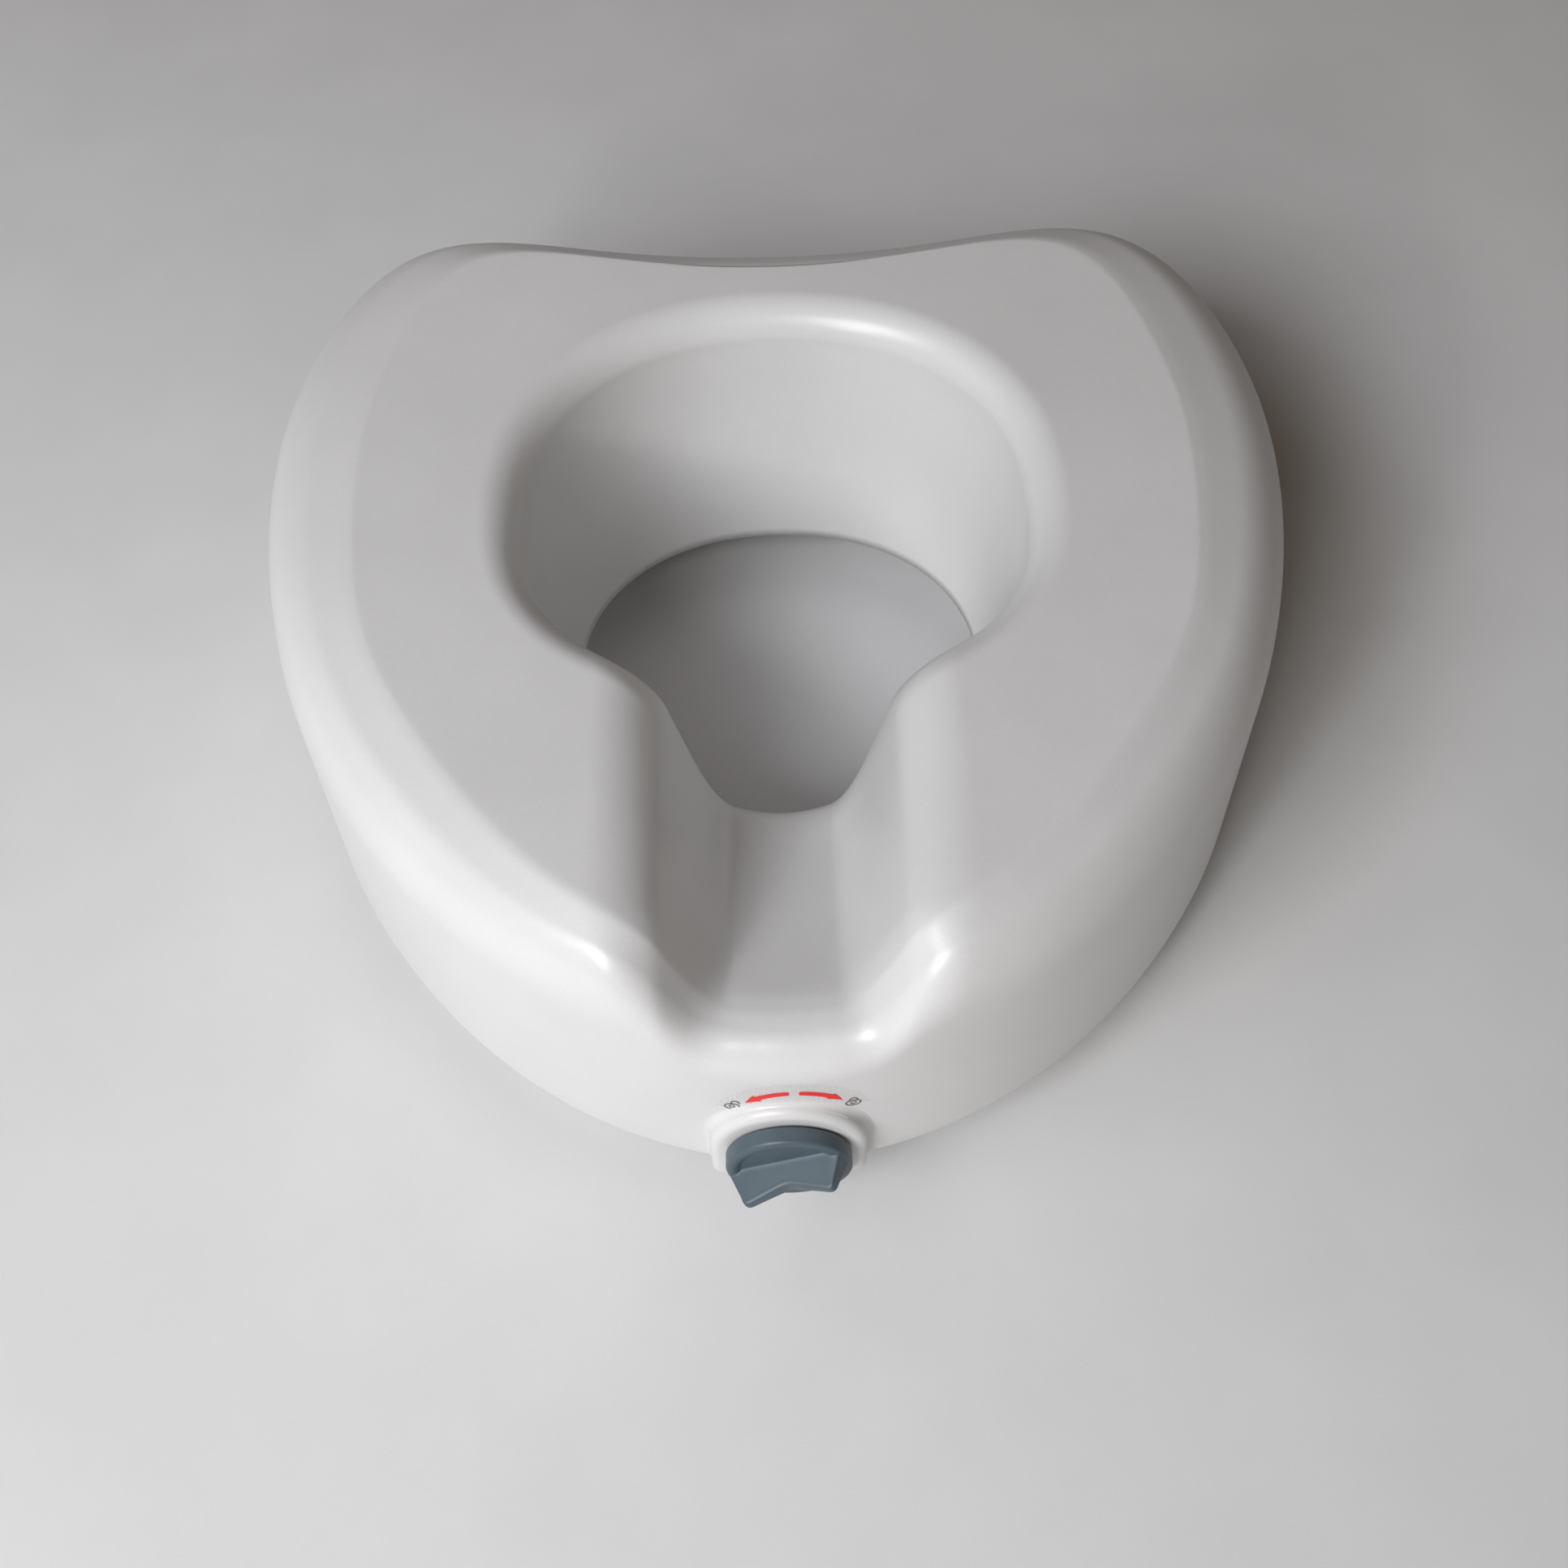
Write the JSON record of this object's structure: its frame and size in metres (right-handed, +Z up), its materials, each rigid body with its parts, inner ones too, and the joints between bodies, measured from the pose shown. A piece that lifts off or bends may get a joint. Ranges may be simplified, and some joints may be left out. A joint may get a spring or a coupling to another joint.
{
  "type": "raised toilet seat",
  "caption": "Raised toilet seat: hollow moulded body with a keyhole opening and front channel, clamped on the bowl rim by a front knob, screw and sliding jaw.",
  "frame": {"origin": "centre of the footprint, level with the lowest point of the jaw and the rear flanges", "axes": "+Z up, -Y is the front with the knob, +X is to the right seen from the front"},
  "size_m": [0.4208, 0.4238, 0.155],
  "materials": {
    "shell_plastic": "satin white blow-moulded polyethylene",
    "pan_plastic": "matt white polyethylene underside",
    "clamp_plastic": "moulded light grey acetal",
    "knob_plastic": "satin slate blue-grey moulded plastic",
    "steel": "zinc-plated steel",
    "brass": "turned brass",
    "rubber": "ribbed black rubber",
    "label_film": "clear film with red arrows and grey padlock outlines"
  },
  "bodies": {
    "seat": {"seat_shell": "shell_plastic", "base_pan": "pan_plastic", "vent_plug": "pan_plastic", "knob_collar": "shell_plastic", "front_bush": "clamp_plastic", "bush_nut": "clamp_plastic", "arrow_label": "label_film", "guide_frame": "clamp_plastic", "tail_bush": "brass", "slot_plate": "clamp_plastic", "guide_screws": "steel", "rear_flange_left": "clamp_plastic", "rear_flange_right": "clamp_plastic", "flange_pad_left": "rubber", "flange_pad_right": "rubber", "flange_screws": "steel", "flange_inserts": "brass", "rim_pad_front_left": "rubber", "rim_pad_front_right": "rubber", "rim_pad_rear_left": "rubber", "rim_pad_rear_right": "rubber"},
    "crank": {"knob": "knob_plastic", "clamp_spindle": "steel", "thrust_washer": "steel", "spindle_clip": "steel"},
    "jaw": {"clamp_jaw": "clamp_plastic", "jaw_nut": "brass", "jaw_pad": "rubber"}
  },
  "joints": [
    {"name": "knob_turn", "type": "hinge", "parent": "seat", "child": "crank", "pos_m": [0, -0.193, 0.051], "axis": [0, 1, 0], "range_deg": [0, 2250]},
    {"name": "jaw_slide", "type": "slide", "parent": "seat", "child": "jaw", "axis": [0, -1, 0], "range_m": [0, 0.025]}
  ],
  "couplings": [
    {"joint": "jaw_slide", "follows": "knob_turn", "m_per_rad": 0.0006366}
  ]
}
